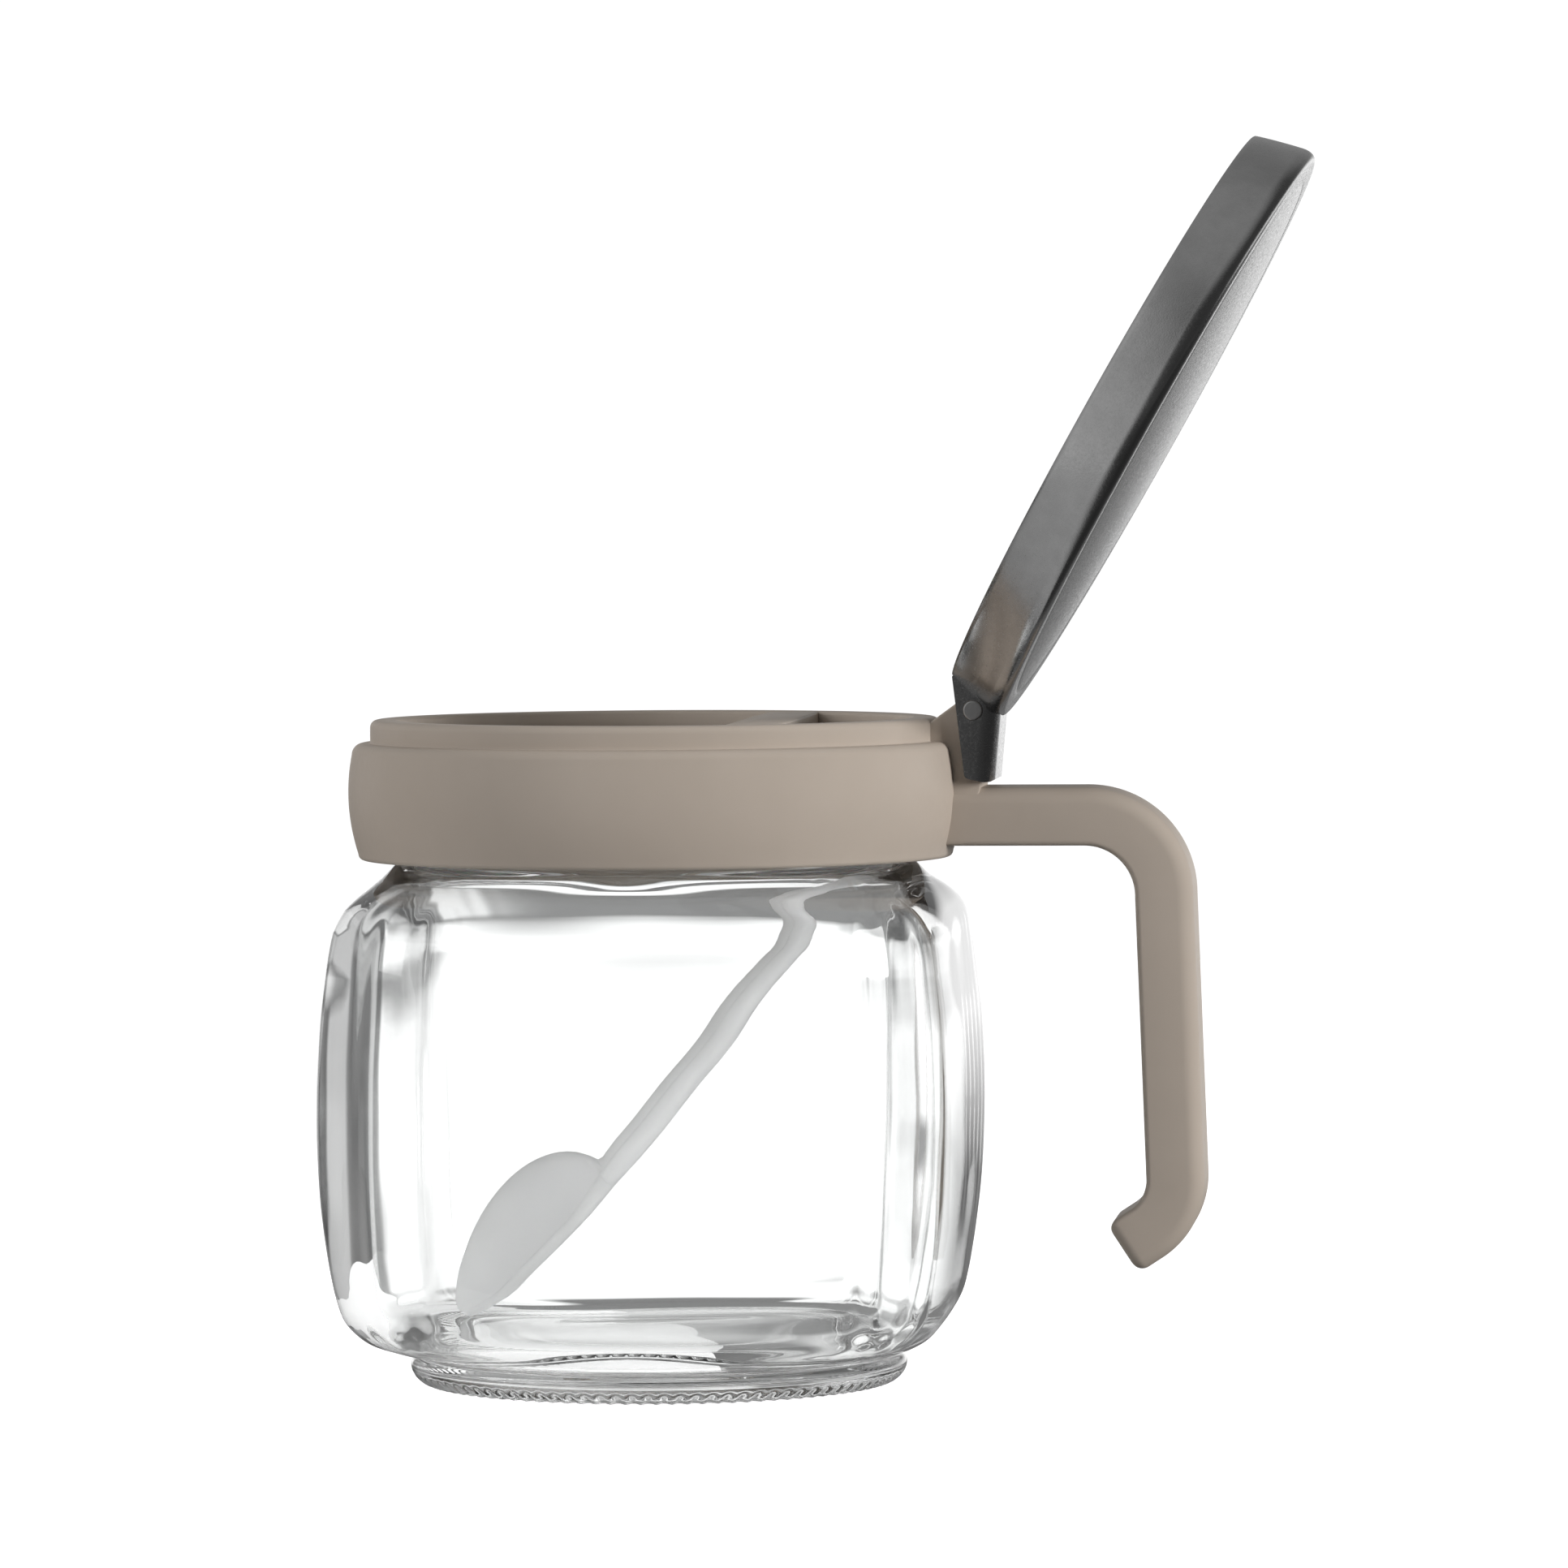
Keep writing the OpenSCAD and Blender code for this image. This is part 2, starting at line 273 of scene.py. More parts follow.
def bump(nt, bsdf, height, strength, distance):
    b = nt.nodes.new("ShaderNodeBump")
    b.inputs["Strength"].default_value = strength
    b.inputs["Distance"].default_value = distance
    nt.links.new(height, b.inputs["Height"])
    nt.links.new(b.outputs["Normal"], bsdf.inputs["Normal"])
    return b


def glass_material():
    m, nt, b = material("clear_glass")
    b.inputs["Base Color"].default_value = (0.985, 0.992, 0.99, 1)
    b.inputs["Transmission Weight"].default_value = 1.0
    b.inputs["IOR"].default_value = 1.52
    nt.links.new(remap(nt, noise(nt, 90, 2), 0.0, 0.03), b.inputs["Roughness"])
    bump(nt, b, noise(nt, 45, 1.0), 0.12, 0.0004)
    return m


def plastic_material():
    m, nt, b = material("beige_plastic")
    col = ramp(nt, noise(nt, 60, 4), [(0.3, (0.455, 0.392, 0.332)), (0.7, (0.485, 0.418, 0.356))])
    nt.links.new(col, b.inputs["Base Color"])
    nt.links.new(remap(nt, noise(nt, 900, 2), 0.42, 0.52), b.inputs["Roughness"])
    b.inputs["Specular IOR Level"].default_value = 0.45
    b.inputs["Subsurface Weight"].default_value = 0.06
    b.inputs["Subsurface Radius"].default_value = (0.6, 0.5, 0.4)
    b.inputs["Subsurface Scale"].default_value = 0.001
    bump(nt, b, noise(nt, 2600, 2), 0.12, 0.00003)
    return m


def steel_material(name, lo, hi, rough_lo, rough_hi, grain=0.18):
    m, nt, b = material(name)
    b.inputs["Metallic"].default_value = 1.0
    col = ramp(nt, noise(nt, 240, 4, 0.7), [(0.3, (lo, lo, lo)), (0.7, (hi, hi, hi))])
    nt.links.new(col, b.inputs["Base Color"])
    nt.links.new(remap(nt, noise(nt, 3200, 2), rough_lo, rough_hi), b.inputs["Roughness"])
    bump(nt, b, noise(nt, 5200, 2), grain, 0.00002)
    return m


def spoon_material():
    m, nt, b = material("white_plastic")
    col = ramp(nt, noise(nt, 110, 3), [(0.3, (0.90, 0.90, 0.902)), (0.7, (0.93, 0.93, 0.93))])
    nt.links.new(col, b.inputs["Base Color"])
    nt.links.new(remap(nt, noise(nt, 700, 2), 0.36, 0.46), b.inputs["Roughness"])
    b.inputs["Subsurface Weight"].default_value = 1.0
    b.inputs["Subsurface Radius"].default_value = (1.0, 1.0, 1.0)
    b.inputs["Subsurface Scale"].default_value = 0.012
    bump(nt, b, noise(nt, 1400, 2), 0.08, 0.00003)
    return m


def seal_material():
    m, nt, b = material("seal_silicone")
    col = ramp(nt, noise(nt, 160, 3), [(0.3, (0.70, 0.69, 0.66)), (0.7, (0.78, 0.77, 0.74))])
    nt.links.new(col, b.inputs["Base Color"])
    nt.links.new(remap(nt, noise(nt, 900, 2), 0.45, 0.6), b.inputs["Roughness"])
    b.inputs["Subsurface Weight"].default_value = 0.3
    b.inputs["Subsurface Scale"].default_value = 0.001
    bump(nt, b, noise(nt, 1800, 2), 0.1, 0.00003)
    return m


def finish_piece(ob, mat, body, node):
    ob.data.materials.clear()
    ob.data.materials.append(mat)
    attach(ob, body)
    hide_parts(node)


# ------------------------------------------------------------------ glass jar
BODY_OUT = [
    (29.5, 3.7, 0), (30.2, 4.05, 0.02), (31.4, 4.5, 0.08), (32.75, 5.3, 0.18), (34.05, 6.4, 0.36), (35.05, 7.8, 0.52),
    (35.85, 9.4, 0.68), (36.35, 11.6, 0.83), (36.8, 14.5, 0.95), (37.35, 18.5, 1), (37.9, 23.5, 1),
    (38.2, 29, 1), (38.3, 34.5, 1), (38.15, 40.5, 1), (37.85, 45.5, 1), (37.3, 50.3, 1), (36.85, 54.0, 0.95),
    (36.5, 56.3, 0.82), (35.75, 58.2, 0.62), (34.8, 59.6, 0.38), (33.8, 60.7, 0.2), (33.0, 61.6, 0.07),
    (32.4, 62.3, 0.02), (31.9, 62.9, 0),
]
BODY_IN = [
    (29.02, 63.8, 0), (29.4, 63.0, 0), (30.3, 62.0, 0.05), (31.3, 61.0, 0.14), (31.95, 60.3, 0.26), (32.5, 59.5, 0.4),
    (33.05, 58.5, 0.56), (33.5, 57.5, 0.7), (33.95, 56.0, 0.85), (34.2, 54.0, 0.95), (34.55, 49.0, 1), (34.85, 43.0, 1), (35.0, 34.5, 1),
    (34.8, 27, 1), (34.5, 20.5, 1), (34.15, 15.5, 0.96), (33.7, 11.8, 0.85), (32.95, 9.4, 0.68), (31.8, 7.7, 0.5),
    (30.1, 6.6, 0.32), (27.9, 5.97, 0.16), (24.8, 5.75, 0.08),
]
SQUARE_OUT, SQUARE_IN = 7.0, 5.8
AROUND = 576


def make_glass():
    foot = [(8.0, 1.75, 0), (16.0, 1.68, 0), (23.0, 1.6, 0), (24.2, 1.3, 0), (25.4, 0.45, 0), (26.0, 0.08, 0),
            (26.8, 0, 0), (28.0, 0.0, 0), (28.7, 0.2, 0), (29.3, 0.62, 0), (29.8, 1.2, 0), (30.1, 1.9, 0),
            (30.15, 2.5, 0), (29.95, 3.0, 0), (29.65, 3.35, 0), (29.5, 3.6, 0)]
    out = smooth_line(foot, 3)[:-1].tolist() + smooth_line(BODY_OUT, 4)[:-1].tolist()
    neck = [(NECK_R, z, 0) for z in np.linspace(63.3, JAR_H - 0.9, 42)]
    lip = [(NECK_R - 0.8 + 0.8 * math.cos(a), JAR_H - 0.8 + 0.8 * math.sin(a), 0) for a in np.radians(np.linspace(8, 90, 6))]
    lip += [(NECK_IN + 0.8 + 0.8 * math.cos(a), JAR_H - 0.8 + 0.8 * math.sin(a), 0) for a in np.radians(np.linspace(98, 180, 6))]
    inner_neck = [(NECK_IN, z, 0) for z in np.linspace(74.5, 64.5, 5)]
    inside = smooth_line(BODY_IN, 4).tolist()
    floor = [(r, FLOOR_Z - 0.25 * (1 - (r / 24.6) ** 2), 0.08 * r / 24.6) for r in (21.5, 18.0, 13.0, 8.0, 3.0)]
    rows = np.array(out + neck + lip + inner_neck + inside + floor)
    n_out = len(out) + len(neck) + len(lip)
    th = np.linspace(0, TAU, AROUND, endpoint=False)
    c, s = np.abs(np.cos(th)), np.abs(np.sin(th))
    corner = np.clip((np.abs(np.sin(2 * th)) - 0.93) / 0.06, 0, 1)
    corner = corner * corner * (3 - 2 * corner)
    verts = []
    for i, (h, z, k) in enumerate(rows):
        z = max(0.0, z)
        square = SQUARE_IN if i >= n_out else SQUARE_OUT
        n = 2 + (square - 2) * max(0.0, k)
        r = h / (c**n + s**n) ** (1 / n)
        dz = np.zeros_like(th)
        if i < len(foot) * 3 and z < 1.6 and h > 26.4:
            # knurled lower edge of the foot
            cut = 0.5 + 0.5 * np.cos(96 * th)
            r = r - 0.30 * math.exp(-(((z - 0.7) / 0.55) ** 2)) * cut
            dz = 0.22 * math.exp(-(((h - 28.2) / 0.9) ** 2)) * cut
        if len(out) <= i < len(out) + len(neck):
            r = r + thread(np.full_like(th, z), th, 67.2, 230, 20, 0.5, 0.95, 1.1)
        if i >= n_out and k > 0.05:
            # moulded glass is never even inside: slow waves in the wall, upright streaks in the corners
            wave = 0.05 * np.sin(3 * th + 0.09 * z) + 0.03 * np.sin(7 * th - 0.13 * z + 1.0) + 0.02 * np.sin(0.5 * z + 5 * th)
            streak = 0.05 * np.sin(46 * th + 0.9 * np.sin(0.07 * z)) + 0.025 * np.sin(83 * th + 1.4 * np.sin(0.05 * z + 2))
            r = r + (wave + streak * corner) * min(1.0, k * 1.2)
        verts.append(np.stack([r * np.cos(th), r * np.sin(th), z + dz], -1))
    v = np.concatenate(verts)
    m = len(rows)
    faces = grid_faces(m, AROUND)
    v = np.concatenate([v, [[0, 0, 1.78], [0, 0, FLOOR_Z - 0.26]]])
    lo, hi = m * AROUND, m * AROUND + 1
    for j in range(AROUND):
        k = (j + 1) % AROUND
        faces.append((lo, k, j))
        faces.append((hi, (m - 1) * AROUND + j, (m - 1) * AROUND + k))
    return new_object("jar_glass", v, faces)


# ------------------------------------------------------------------ collar
def band_at(z):
    return BAND_R - 0.0213 * (z - (COLLAR_Z + 8.1)) ** 2


def make_collar():
    prof = [(BORE_R + 0.3, COLLAR_Z + 0.12), (BORE_R + 0.6, COLLAR_Z), (34.2, COLLAR_Z)]
    edge = band_at(COLLAR_Z + 0.7)
    prof += arc(edge - 0.62, COLLAR_Z + 0.62, 0.6, -90, -12, 5)
    prof += [(band_at(z), z) for z in np.linspace(COLLAR_Z + 0.8, STEP_Z - 1.4, 26)]
    prof += arc(band_at(STEP_Z - 1.4) - 1.4, STEP_Z - 1.4, 1.4, 14, 90, 8)[:]
    prof += arc(RIM_R + 0.15, STEP_Z + 0.15, 0.15, 270, 180, 3)
    prof += [(RIM_R, z) for z in np.linspace(STEP_Z + 0.5, RIM_Z - 1.0, 4)]
    prof += arc(RIM_R - 0.9, RIM_Z - 0.9, 0.9, 8, 90, 8)
    prof += arc(RIM_IN + 0.5, RIM_Z - 0.5, 0.5, 96, 180, 5)
    prof += [(RIM_IN, LEDGE_Z + 1.5), (RIM_IN - 0.1, LEDGE_Z + 1.25), (RIM_IN - 0.35, LEDGE_Z + 1.2),
             (NECK_IN + 0.6, LEDGE_Z + 1.2), (NECK_IN + 0.4, LEDGE_Z + 1.0), (NECK_IN + 0.4, LEDGE_Z + 0.1),
             (NECK_IN + 0.5, LEDGE_Z), (BORE_R - 0.1, LEDGE_Z), (BORE_R, LEDGE_Z - 0.1)]
    prof += [(BORE_R, z) for z in np.linspace(LEDGE_Z - 0.4, COLLAR_Z + 0.4, 54)]

    def ridge(r, z, th):
        inside = np.abs(r - BORE_R) < 1e-6
        return np.where(inside, -thread(z, th, 65.2, 200, 10, 0.5, 1.05, BORE_R - NECK_R - 0.35), 0)

    ring = lathe("collar_band", prof, 360, True, ridge, 38)

    # levelling bar across the mouth
    half = math.sqrt((RIM_IN + 0.6) ** 2 - (BAR_X + BAR_W / 2) ** 2)
    x0, x1 = BAR_X - BAR_W / 2, BAR_X + BAR_W / 2
    bar = prism("bar", [(x0, LEDGE_Z), (x1, LEDGE_Z), (x1, RIM_Z - 0.02), (x0, RIM_Z - 0.02)], -half, half, 0.25)

    # hinge lug
    boss = 1.9
    px, pz = PIN
    base = (33.9, RIM_Z - 0.5)
    up = math.degrees(math.atan2(pz - base[1], px - base[0])) + math.degrees(
        math.asin(boss / math.hypot(px - base[0], pz - base[1])))
    bar_z = JAR_H - 7.25
    lug_out = [(33.6, bar_z - 2), (px - 2, bar_z - 2), (px + 0.4, bar_z + 2), (px + 0.9, bar_z + 4)]
    lug_out += arc(px, pz, boss, -12, 90 + up, 24) + [base, (33.6, RIM_Z - 0.5)]
    w = EAR_Y - 0.9
    lug = prism("lug", lug_out, -w, w, 0.3)

    # handle: a soft-edged bar swept along its middle line
    bend_r, hook_r, turn = 9.6, 7.8, 57.0
    grip_x, grip_low, hook_z = 62.0, 63.2, 25.0
    path = [(x, bar_z, 0.0) for x in (34.2, 37.0, 40.0, 43.0, 46.0, 49.0, 51.2)]
    for a in np.linspace(90, 0, 37):
        r = math.radians(a)
        path.append((grip_x - bend_r + bend_r * math.cos(r), bar_z - bend_r + bend_r * math.sin(r), a - 90))
    for k in np.linspace(0, 1, 12)[1:-1]:
        path.append((grip_x + (grip_low - grip_x) * k, bar_z - bend_r + (hook_z - bar_z + bend_r) * k, -90.0))
    for a in np.linspace(0, -turn, 25):
        r = math.radians(a)
        path.append((grip_low - hook_r + hook_r * math.cos(r), hook_z + hook_r * math.sin(r), a - 90))
    e = math.radians(turn)
    end = (grip_low - hook_r + hook_r * math.cos(e) - 3.4 * math.sin(e),
           hook_z - hook_r * math.sin(e) - 3.4 * math.cos(e), -90 - turn)
    dx, dz = math.cos(math.radians(end[2])), math.sin(math.radians(end[2]))

    def section(grow):
        # +q0 is the inner side of the bend, q1 runs across
        a, b = 3.5 - grow, 6.5 - grow
        ri, ro = max(0.2, 0.7 - grow), max(0.4, 2.0 - grow)
        return (arc(a - ri, b - ri, ri, 0, 90, 6) + arc(ro - a, b - ro, ro, 90, 180, 8)
                + arc(ro - a, ro - b, ro, 180, 270, 8) + arc(a - ri, ri - b, ri, 270, 360, 6))

    stations = [(p, 0.0) for p in path]
    for t in np.linspace(0, 90, 9):
        k = math.radians(t)
        back = 1.4 * (1 - math.sin(k))
        stations.append(((end[0] - dx * back, end[1] - dz * back, end[2]), 1.4 * (1 - math.cos(k))))
    rings = []
    for (x, z, h), grow in stations:
        sh, ch = math.sin(math.radians(h)), math.cos(math.radians(h))
        rings.append([(x + q0 * sh, q1, z - q0 * ch) for q0, q1 in section(grow)])
    grip = loft("grip", rings, True, 38)

    bore = lathe("bore", [(0.001, -9), (PIN_R, -9), (PIN_R, 9), (0.001, 9)], 48, False)
    bore.data.transform(Matrix.Translation((px * MM, 0, pz * MM)) @ Matrix.Rotation(math.radians(90), 4, "X"))
    combine(ring, [bar, lug, grip], "UNION")
    combine(ring, [bore], "DIFFERENCE")
    clean(ring)
    shade(ring, 32)
    ring.name = "collar_and_handle"
    return ring


# ------------------------------------------------------------------ lid
def lid_profile(t):
    # skirt that widens upwards, slow curve, tight shoulder, flat ring, then the low dome
    slow, tight = 2.8, LID_ROUND
    z_mid = LID_TOP - tight * (1 - math.sin(math.radians(10))) - slow * math.sin(math.radians(10))
    z_skirt = z_mid - slow * math.sin(math.radians(14))
    r_skirt = LID_R - slow * (1 - math.cos(math.radians(14)))
    pts = []
    for k in np.linspace(0, 1, 10)[:-1]:
        pts.append((LID_LOW_R + (r_skirt - LID_LOW_R) * (k + 0.16 * k * (1 - k)) - t, -4.35 + (z_skirt + 4.35) * k))
    pts += arc(LID_R - slow, z_mid, slow - t, -14, 10, 12)
    r_top = LID_R - slow + (slow - tight) * math.cos(math.radians(10))
    pts += arc(r_top, LID_TOP - tight, tight - t, 14, 90, 14)
    r0 = r_top - 2.9
    pts += [(r0 + 2.0, LID_TOP - t), (r0 + 0.9, LID_TOP - t), (r0 + 0.35, LID_TOP - t), (r0 + 0.15, LID_TOP - 0.05 - t)]
    pts += [(r0 * k, LID_TOP - t + DOME * (1 - k * k)) for k in np.linspace(0.995, 0.02, 36)]
    return pts


def make_lid():
    outer, inner = lid_profile(0.0), lid_profile(SHEET)
    edge = [(LID_LOW_R - SHEET + 0.08, -4.35), (LID_LOW_R - 0.08, -4.35)]
    outer[0] = (outer[0][0], -4.27)
    inner[0] = (inner[0][0], -4.27)
    # from the middle of the dome out and down the skirt, round its edge, and back up inside
    shell = lathe("lid_shell", [(r, z + PIN[1]) for r, z in outer[::-1] + edge[::-1] + inner], 512, False, None, 40)
    # close the dome at its middle, outside and inside
    bm = bmesh.new()
    bm.from_mesh(shell.data)
    bmesh.ops.holes_fill(bm, edges=[e for e in bm.edges if e.is_boundary], sides=0)
    bmesh.ops.recalc_face_normals(bm, faces=bm.faces)
    bm.to_mesh(shell.data)
    bm.free()
    px, pz = PIN
    cut = prism("cut", [(30, pz - 6), (42, pz - 6), (42, pz + 2), (30, pz + 2)], -EAR_Y, EAR_Y)
    combine(shell, [cut], "DIFFERENCE")
    # ears and thumb lever: one channel of sheet, bent round at its two long edges
    y_out, bend = EAR_Y + SHEET, 2.3
    walk = [(-y_out, -12.0), (-y_out, -8.0), (-y_out, -5.0)] + arc(-y_out + bend, -bend, bend, 180, 90, 10)
    walk += arc(y_out - bend, -bend, bend, 90, 0, 10) + [(y_out, -5.0), (y_out, -8.0), (y_out, -12.0)]
    back = [(y_out - SHEET, -12.0), (y_out - SHEET, -8.0), (y_out - SHEET, -5.0)]
    back += arc(y_out - bend, -bend, bend - SHEET, 0, 90, 10) + arc(-y_out + bend, -bend, bend - SHEET, 90, 180, 10)
    back += [(SHEET - y_out, -5.0), (SHEET - y_out, -8.0), (SHEET - y_out, -12.0)]
    a = math.atan2(3.2, 7.1)
    rings = []
    for s in np.linspace(-6, 9, 16):
        x0, z0 = px - 1.3 + s * math.cos(a), pz + 3.0 + s * math.sin(a)
        rings.append([(x0 - n * math.sin(a), y, z0 + n * math.cos(a)) for y, n in walk + back])
    lever = loft("lever", rings, True, 30)
    side = [(-3.1, -4.05), (-2.3, -4.15), (6.9, 2.6)] + arc(6.7, 3.4, 0.8, -40, 20, 4) + [
        (6.9, 5.4), (6.5, 6.0), (5.9, 6.4), (5.3, 6.4), (-3.1, 3.1)]
    outline = prism("side", [(px + x, pz + z) for x, z in side], -9, 9)
    combine(lever, [outline], "INTERSECT")
    combine(shell, [lever], "UNION")
    hole = lathe("hole", [(0.001, -9), (PIN_R + 0.06, -9), (PIN_R + 0.06, 9), (0.001, 9)], 48, False)
    hole.data.transform(Matrix.Translation((px * MM, 0, pz * MM)) @ Matrix.Rotation(math.radians(90), 4, "X"))
    combine(shell, [hole], "DIFFERENCE")
    clean(shell)
    p = Vector((px * MM, 0, pz * MM))
    shell.data.transform(Matrix.Translation(p) @ Matrix.Rotation(math.radians(LID_OPEN), 4, "Y") @ Matrix.Translation(-p))
    shade(shell, 30)
    shell.name = "lid_shell"
    return shell


def make_pin():
    h = EAR_Y + SHEET + 0.25
    prof = [(0.02, -h), (0.5, -h), (PIN_R - 0.2, -h + 0.01)]
    prof += arc(PIN_R - 0.12, -h + 0.13, 0.12, -80, 0, 5) + [(PIN_R, z) for z in np.linspace(-h + 0.5, h - 0.5, 9)]
    prof += arc(PIN_R - 0.12, h - 0.13, 0.12, 0, 80, 5) + [(PIN_R - 0.2, h - 0.01), (0.5, h), (0.02, h)]
    ob = lathe("pin", prof, 64, False, None, 40)
    bm = bmesh.new()
    bm.from_mesh(ob.data)
    bmesh.ops.holes_fill(bm, edges=[e for e in bm.edges if e.is_boundary], sides=0)
    bm.to_mesh(ob.data)
    bm.free()
    ob.data.transform(Matrix.Translation((PIN[0] * MM, 0, PIN[1] * MM)) @ Matrix.Rotation(math.radians(90), 4, "X"))
    shade(ob, 40)
    ob.name = "hinge_pin_rod"
    return ob


def make_seal():
    r0, r1, z0, z1 = NECK_IN + 0.5, NECK_R + 1.1, JAR_H + 0.1, JAR_H + 1.1
    q = 0.22
    prof = arc(r1 - q, z0 + q, q, -90, 0, 4) + arc(r1 - q, z1 - q, q, 0, 90, 4)
    prof += arc(r0 + q, z1 - q, q, 90, 180, 4) + arc(r0 + q, z0 + q, q, 180, 270, 4)
    return lathe("seal_ring", prof, 256, True, None, 50)


# ------------------------------------------------------------------ spoon
def make_spoon():
    tip = np.array([-25.2, 0.0, FLOOR_Z + 1.2])
    bowl, stem, lean = 27.0, 50.5, 49.5
    b_lean, roll = lean - 5.0, math.radians(4)

    def turn(s):
        return math.radians(b_lean + (lean - b_lean) * min(1.0, max(0.0, (s - bowl + 6) / 8)))

    stations = list(bowl * (0.5 - 0.496 * np.cos(np.linspace(0, math.pi, 60))))
    stations += list(np.linspace(bowl + 0.6, bowl + stem - 1.2, 60)) + [bowl + stem - 0.6, bowl + stem - 0.2, bowl + stem]
    rings, p, last = [], np.zeros(2), 0.0
    for s in stations:
        a = turn((s + last) / 2)
        p = p + (s - last) * np.array([math.cos(a), math.sin(a)])
        last = s
        # the bowl is fullest towards the stem and pointed at its tip
        v = min(1.0, s / bowl) ** 1.25
        share = 2 * math.sqrt(max(0.0, v * (1 - v)))
        w = max(8.5 * share, 3.2 if s > bowl / 2 else 0.9)
        left = bowl + stem - s
        if left < 3.0:
            w *= math.sqrt(max(0.05, 1 - (1 - left / 3.0) ** 2))
        ease = min(1.0, max(0.0, (s - bowl * 0.75) / (bowl * 0.25 + 4)))
        ease = ease * ease * (3 - 2 * ease)
        d = max(0.5 + 0.45 * ease, 8.0 * share)
        t = 1.5 + 1.1 * ease
        half = t / 2
        pts = []
        wi = max(w - half, 0.25)
        qs = np.linspace(-1, 1, 25)
        for q in qs:  # back
            pts.append((q * wi, d * (1 - q * q)))
        for a2 in np.linspace(80, -80, 7):
            k = math.radians(a2)
            pts.append((wi + half * 0.9 * math.cos(k), -half + half * math.sin(k)))
        for q in qs[::-1]:  # hollow front
            pts.append((q * wi, d * (1 - q * q) - t))
        for a2 in np.linspace(-100, -260, 7):
            k = math.radians(a2)
            pts.append((-wi + half * 0.9 * math.cos(k), -half + half * math.sin(k)))
        a = turn(s)
        ring = []
        for q, n in pts:
            n += 0.45 * ease
            qr = q * math.cos(roll) - n * math.sin(roll)
            nr = q * math.sin(roll) + n * math.cos(roll)
            ring.append((tip[0] + p[0] - nr * math.sin(a), tip[1] + qr, tip[2] + p[1] + nr * math.cos(a)))
        rings.append(ring)
    return loft("spoon_piece", rings, True, 50)


glass = make_glass()
finish_piece(glass, glass_material(), "jar", "glass_jar")
seal = make_seal()
finish_piece(seal, seal_material(), "seal", "sealing_ring")
collar = make_collar()
finish_piece(collar, plastic_material(), "collar", "screw_collar")
pin = make_pin()
finish_piece(pin, steel_material("pin_steel", 0.40, 0.50, 0.30, 0.42), "collar", "hinge_pin")
lid = make_lid()
finish_piece(lid, steel_material("lid_steel", 0.36, 0.42, 0.12, 0.30, 0.4), "lid", "steel_lid")
spoon = make_spoon()
finish_piece(spoon, spoon_material(), "spoon", "spoon")


# ------------------------------------------------------------------ stage
def make_floor(name, rx, ry, z, glow):
    n = 128
    steps = [0.02, 0.1, 0.25, 0.4, 0.55, 0.7, 0.85, 1.0]
    v = [(r * rx * 1000 * math.cos(TAU * j / n), r * ry * 1000 * math.sin(TAU * j / n), 0.0) for r in steps for j in range(n)]
    f = grid_faces(len(steps), n) + [tuple(range(n))]
    ob = new_object(name, v, f)
    m, nt, b = material(name + "_white")
    col = ramp(nt, noise(nt, 30, 3), [(0.3, (0.88, 0.88, 0.88)), (0.7, (0.9, 0.9, 0.9))])
    nt.links.new(col, b.inputs["Base Color"])
    b.inputs["Roughness"].default_value = 0.8
    b.inputs["Specular IOR Level"].default_value = 0.1
    b.inputs["Emission Color"].default_value = (1, 1, 1, 1)
    b.inputs["Emission Strength"].default_value = glow
    ob.data.materials.append(m)
    ob.location.z = z
    ob.visible_glossy = ob.visible_diffuse = ob.visible_volume_scatter = False
    return ob


# the floor itself, and the white sheet under the glass that shows through it
floor = make_floor("floor", 0.9, 0.9, -0.0002, 0.8)
floor.visible_transmission = False
sheet = make_floor("floor_sheet", 0.1, 0.085, -0.0003, 0.8)
sheet.location.x, sheet.location.y = -0.09, -0.02
sheet.visible_camera = sheet.visible_shadow = False

# brightness of the studio round the object, by compass direction: level, below the table's edge, and above
STUDIO = [(-180, 0.08), (-170, 0.10), (-155, 0.62), (-140, 0.8), (-120, 0.62), (-108, 0.14), (-95, 0.12), (-86, 0.2),
          (-78, 0.13), (-68, 0.24), (-60, 0.56), (-36, 0.6), (-32, 0.08), (-23, 0.08), (-20, 1.25), (0, 1.3), (60, 1.25),
          (75, 0.5), (88, 0.08), (180, 0.08)]
TABLE = [(-180, 0.06), (-170, 0.08), (-155, 0.45), (-140, 0.58), (-120, 0.52), (-105, 0.47), (-85, 0.28), (-66, 0.06),
         (-18, 0.06), (-9, 0.2), (40, 0.18), (60, 0.06), (130, 0.04), (180, 0.06)]
HIGH = [(-180, 0.1), (-172, 0.3), (-160, 0.6), (-135, 0.72), (-110, 0.5), (-70, 0.35), (-10, 0.32), (20, 0.25), (40, 0.09),
        (150, 0.06), (180, 0.1)]
FRONT = [(-180, 1), (-170, 1), (-158, 0), (85, 0), (100, 1), (180, 1)]
FLOOR_OFF = [(-180, 1), (-16, 1), (-9, 0), (44, 0), (55, 1), (180, 1)]
OVERHEAD = 0.4


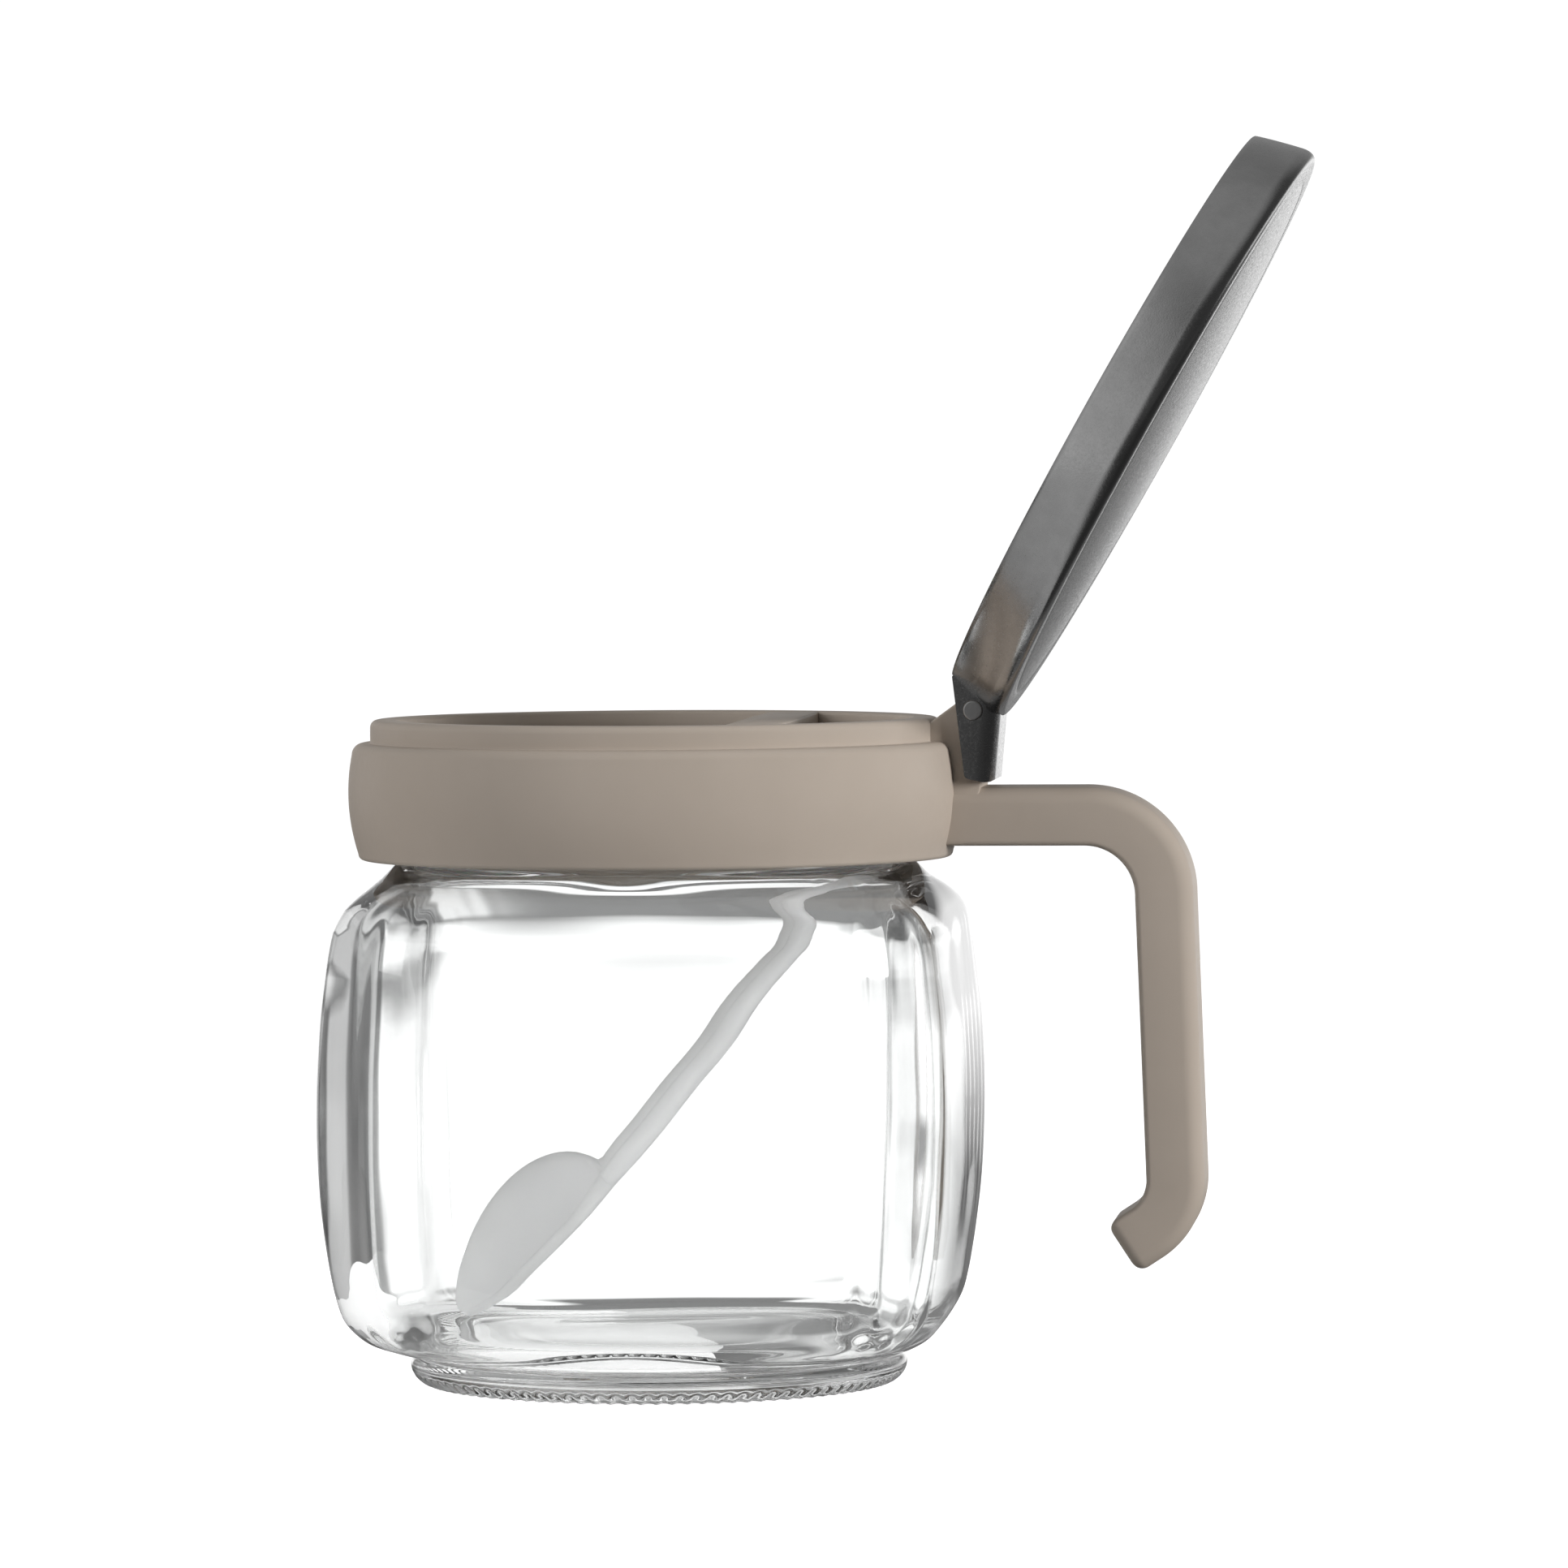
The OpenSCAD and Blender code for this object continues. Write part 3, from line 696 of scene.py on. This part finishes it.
def make_world():
    w = bpy.data.worlds.new("studio")
    bpy.context.scene.world = w
    w.use_nodes = True
    nt = w.node_tree
    bg = nt.nodes["Background"]
    tc = nt.nodes.new("ShaderNodeTexCoord")
    sep = nt.nodes.new("ShaderNodeSeparateXYZ")
    nt.links.new(tc.outputs["Generated"], sep.inputs["Vector"])
    # tone by compass direction: 0 is behind the object, 90 its right, -90 its left
    turn = nt.nodes.new("ShaderNodeMath")
    turn.operation = "ARCTAN2"
    nt.links.new(sep.outputs["X"], turn.inputs[0])
    nt.links.new(sep.outputs["Y"], turn.inputs[1])
    round_ = remap(nt, turn.outputs[0], 0.0, 1.0, -math.pi, math.pi)
    level = ramp(nt, round_, [((a + 180) / 360, (v,) * 3) for a, v in STUDIO])
    table = ramp(nt, round_, [((a + 180) / 360, (v,) * 3) for a, v in TABLE])
    high = ramp(nt, round_, [((a + 180) / 360, (v,) * 3) for a, v in HIGH])
    lp = nt.nodes.new("ShaderNodeLightPath")
    # mirrored in the steel, the table's far edge stands higher than seen through the glass
    edge = nt.nodes.new("ShaderNodeMath")
    edge.operation = "MULTIPLY_ADD"
    nt.links.new(lp.outputs["Is Reflection Ray"], edge.inputs[0])
    edge.inputs[1].default_value = -0.055
    nt.links.new(sep.outputs["Z"], edge.inputs[2])
    low = nt.nodes.new("ShaderNodeMix")
    low.data_type = "RGBA"
    nt.links.new(remap(nt, edge.outputs[0], 1.0, 0.0, -0.145, -0.105), low.inputs["Factor"])
    nt.links.new(level, low.inputs[6])
    nt.links.new(table, low.inputs[7])
    upper = nt.nodes.new("ShaderNodeMix")
    upper.data_type = "RGBA"
    nt.links.new(remap(nt, sep.outputs["Z"], 0.0, 1.0, 0.03, 0.14), upper.inputs["Factor"])
    nt.links.new(low.outputs[2], upper.inputs[6])
    nt.links.new(high, upper.inputs[7])
    mix = nt.nodes.new("ShaderNodeMix")
    mix.data_type = "RGBA"
    nt.links.new(remap(nt, sep.outputs["Z"], 0.0, 1.0, 0.75, 0.95), mix.inputs["Factor"])
    nt.links.new(upper.outputs[2], mix.inputs[6])
    mix.inputs[7].default_value = (OVERHEAD, OVERHEAD, OVERHEAD, 1)
    # through the glass, the studio in front of the object is light, and so is the floor a little way off
    def math_node(how, a, b):
        n = nt.nodes.new("ShaderNodeMath")
        n.operation = how
        nt.links.new(a, n.inputs[0])
        nt.links.new(b, n.inputs[1])
        return n.outputs[0]

    off = math_node("MULTIPLY", remap(nt, sep.outputs["Z"], 0.0, 1.0, -0.44, -0.37), remap(nt, sep.outputs["Z"], 1.0, 0.0, -0.17, -0.13))
    off = math_node("MULTIPLY", off, ramp(nt, round_, [((a + 180) / 360, (v,) * 3) for a, v in FLOOR_OFF]))
    light = math_node("MAXIMUM", off, ramp(nt, round_, [((a + 180) / 360, (v,) * 3) for a, v in FRONT]))
    gate = math_node("MULTIPLY", lp.outputs["Is Transmission Ray"], light)
    through = nt.nodes.new("ShaderNodeMix")
    through.data_type = "RGBA"
    nt.links.new(gate, through.inputs["Factor"])
    nt.links.new(mix.outputs[2], through.inputs[6])
    through.inputs[7].default_value = (0.95, 0.95, 0.95, 1)
    seen = nt.nodes.new("ShaderNodeMix")
    seen.data_type = "RGBA"
    nt.links.new(lp.outputs["Is Camera Ray"], seen.inputs["Factor"])
    nt.links.new(through.outputs[2], seen.inputs[6])
    seen.inputs[7].default_value = (1.05, 1.05, 1.05, 1)
    nt.links.new(seen.outputs[2], bg.inputs["Color"])


make_world()


def area(name, loc, aim, size, power):
    d = bpy.data.lights.new(name, "AREA")
    d.shape = "RECTANGLE"
    d.size, d.size_y = size
    d.energy = power
    ob = bpy.data.objects.new(name, d)
    ob.location = loc
    ob.rotation_euler = (Vector(aim) - Vector(loc)).to_track_quat("-Z", "Y").to_euler()
    bpy.context.scene.collection.objects.link(ob)
    ob.visible_glossy = False
    return ob


area("key_right", (1.25, -0.55, 0.35), (0.02, 0, 0.06), (0.5, 0.5), 18.0)
area("fill_left", (-1.3, -0.6, 0.5), (0.0, 0, 0.06), (0.9, 0.9), 6.0)


# ------------------------------------------------------------------ camera
CAM_TURN, CAM_PITCH, CAM_ROLL = 5.55, 2.1, -0.35
CAM_FAR, CAM_LENS = 1.0635, 10799 / 1932 * 36
CAM_AIM = (0.01559, 0.07248)


def make_camera():
    phi, pitch, roll = math.radians(CAM_TURN), math.radians(CAM_PITCH), math.radians(CAM_ROLL)
    right = Vector((math.cos(phi), math.sin(phi), 0))
    fwd = Vector((-math.sin(phi) * math.cos(pitch), math.cos(phi) * math.cos(pitch), -math.sin(pitch)))
    up = right.cross(fwd)
    place = right * CAM_AIM[0] + Vector((0, 0, CAM_AIM[1])) - fwd * CAM_FAR
    right, up = right * math.cos(roll) + up * math.sin(roll), up * math.cos(roll) - right * math.sin(roll)
    d = bpy.data.cameras.new("camera")
    d.sensor_width = 36.0
    d.sensor_fit = "HORIZONTAL"
    d.lens = CAM_LENS
    d.clip_start, d.clip_end = 0.05, 50
    ob = bpy.data.objects.new("camera", d)
    ob.matrix_world = Matrix((
        (right.x, up.x, -fwd.x, place.x),
        (right.y, up.y, -fwd.y, place.y),
        (right.z, up.z, -fwd.z, place.z),
        (0, 0, 0, 1)))
    bpy.context.scene.collection.objects.link(ob)
    bpy.context.scene.camera = ob


make_camera()
scene = bpy.context.scene
scene.view_settings.view_transform = "Standard"
scene.view_settings.look = "None"
scene.cycles.max_bounces = 24
scene.cycles.transmission_bounces = 20
scene.cycles.glossy_bounces = 12
scene.cycles.transparent_max_bounces = 16
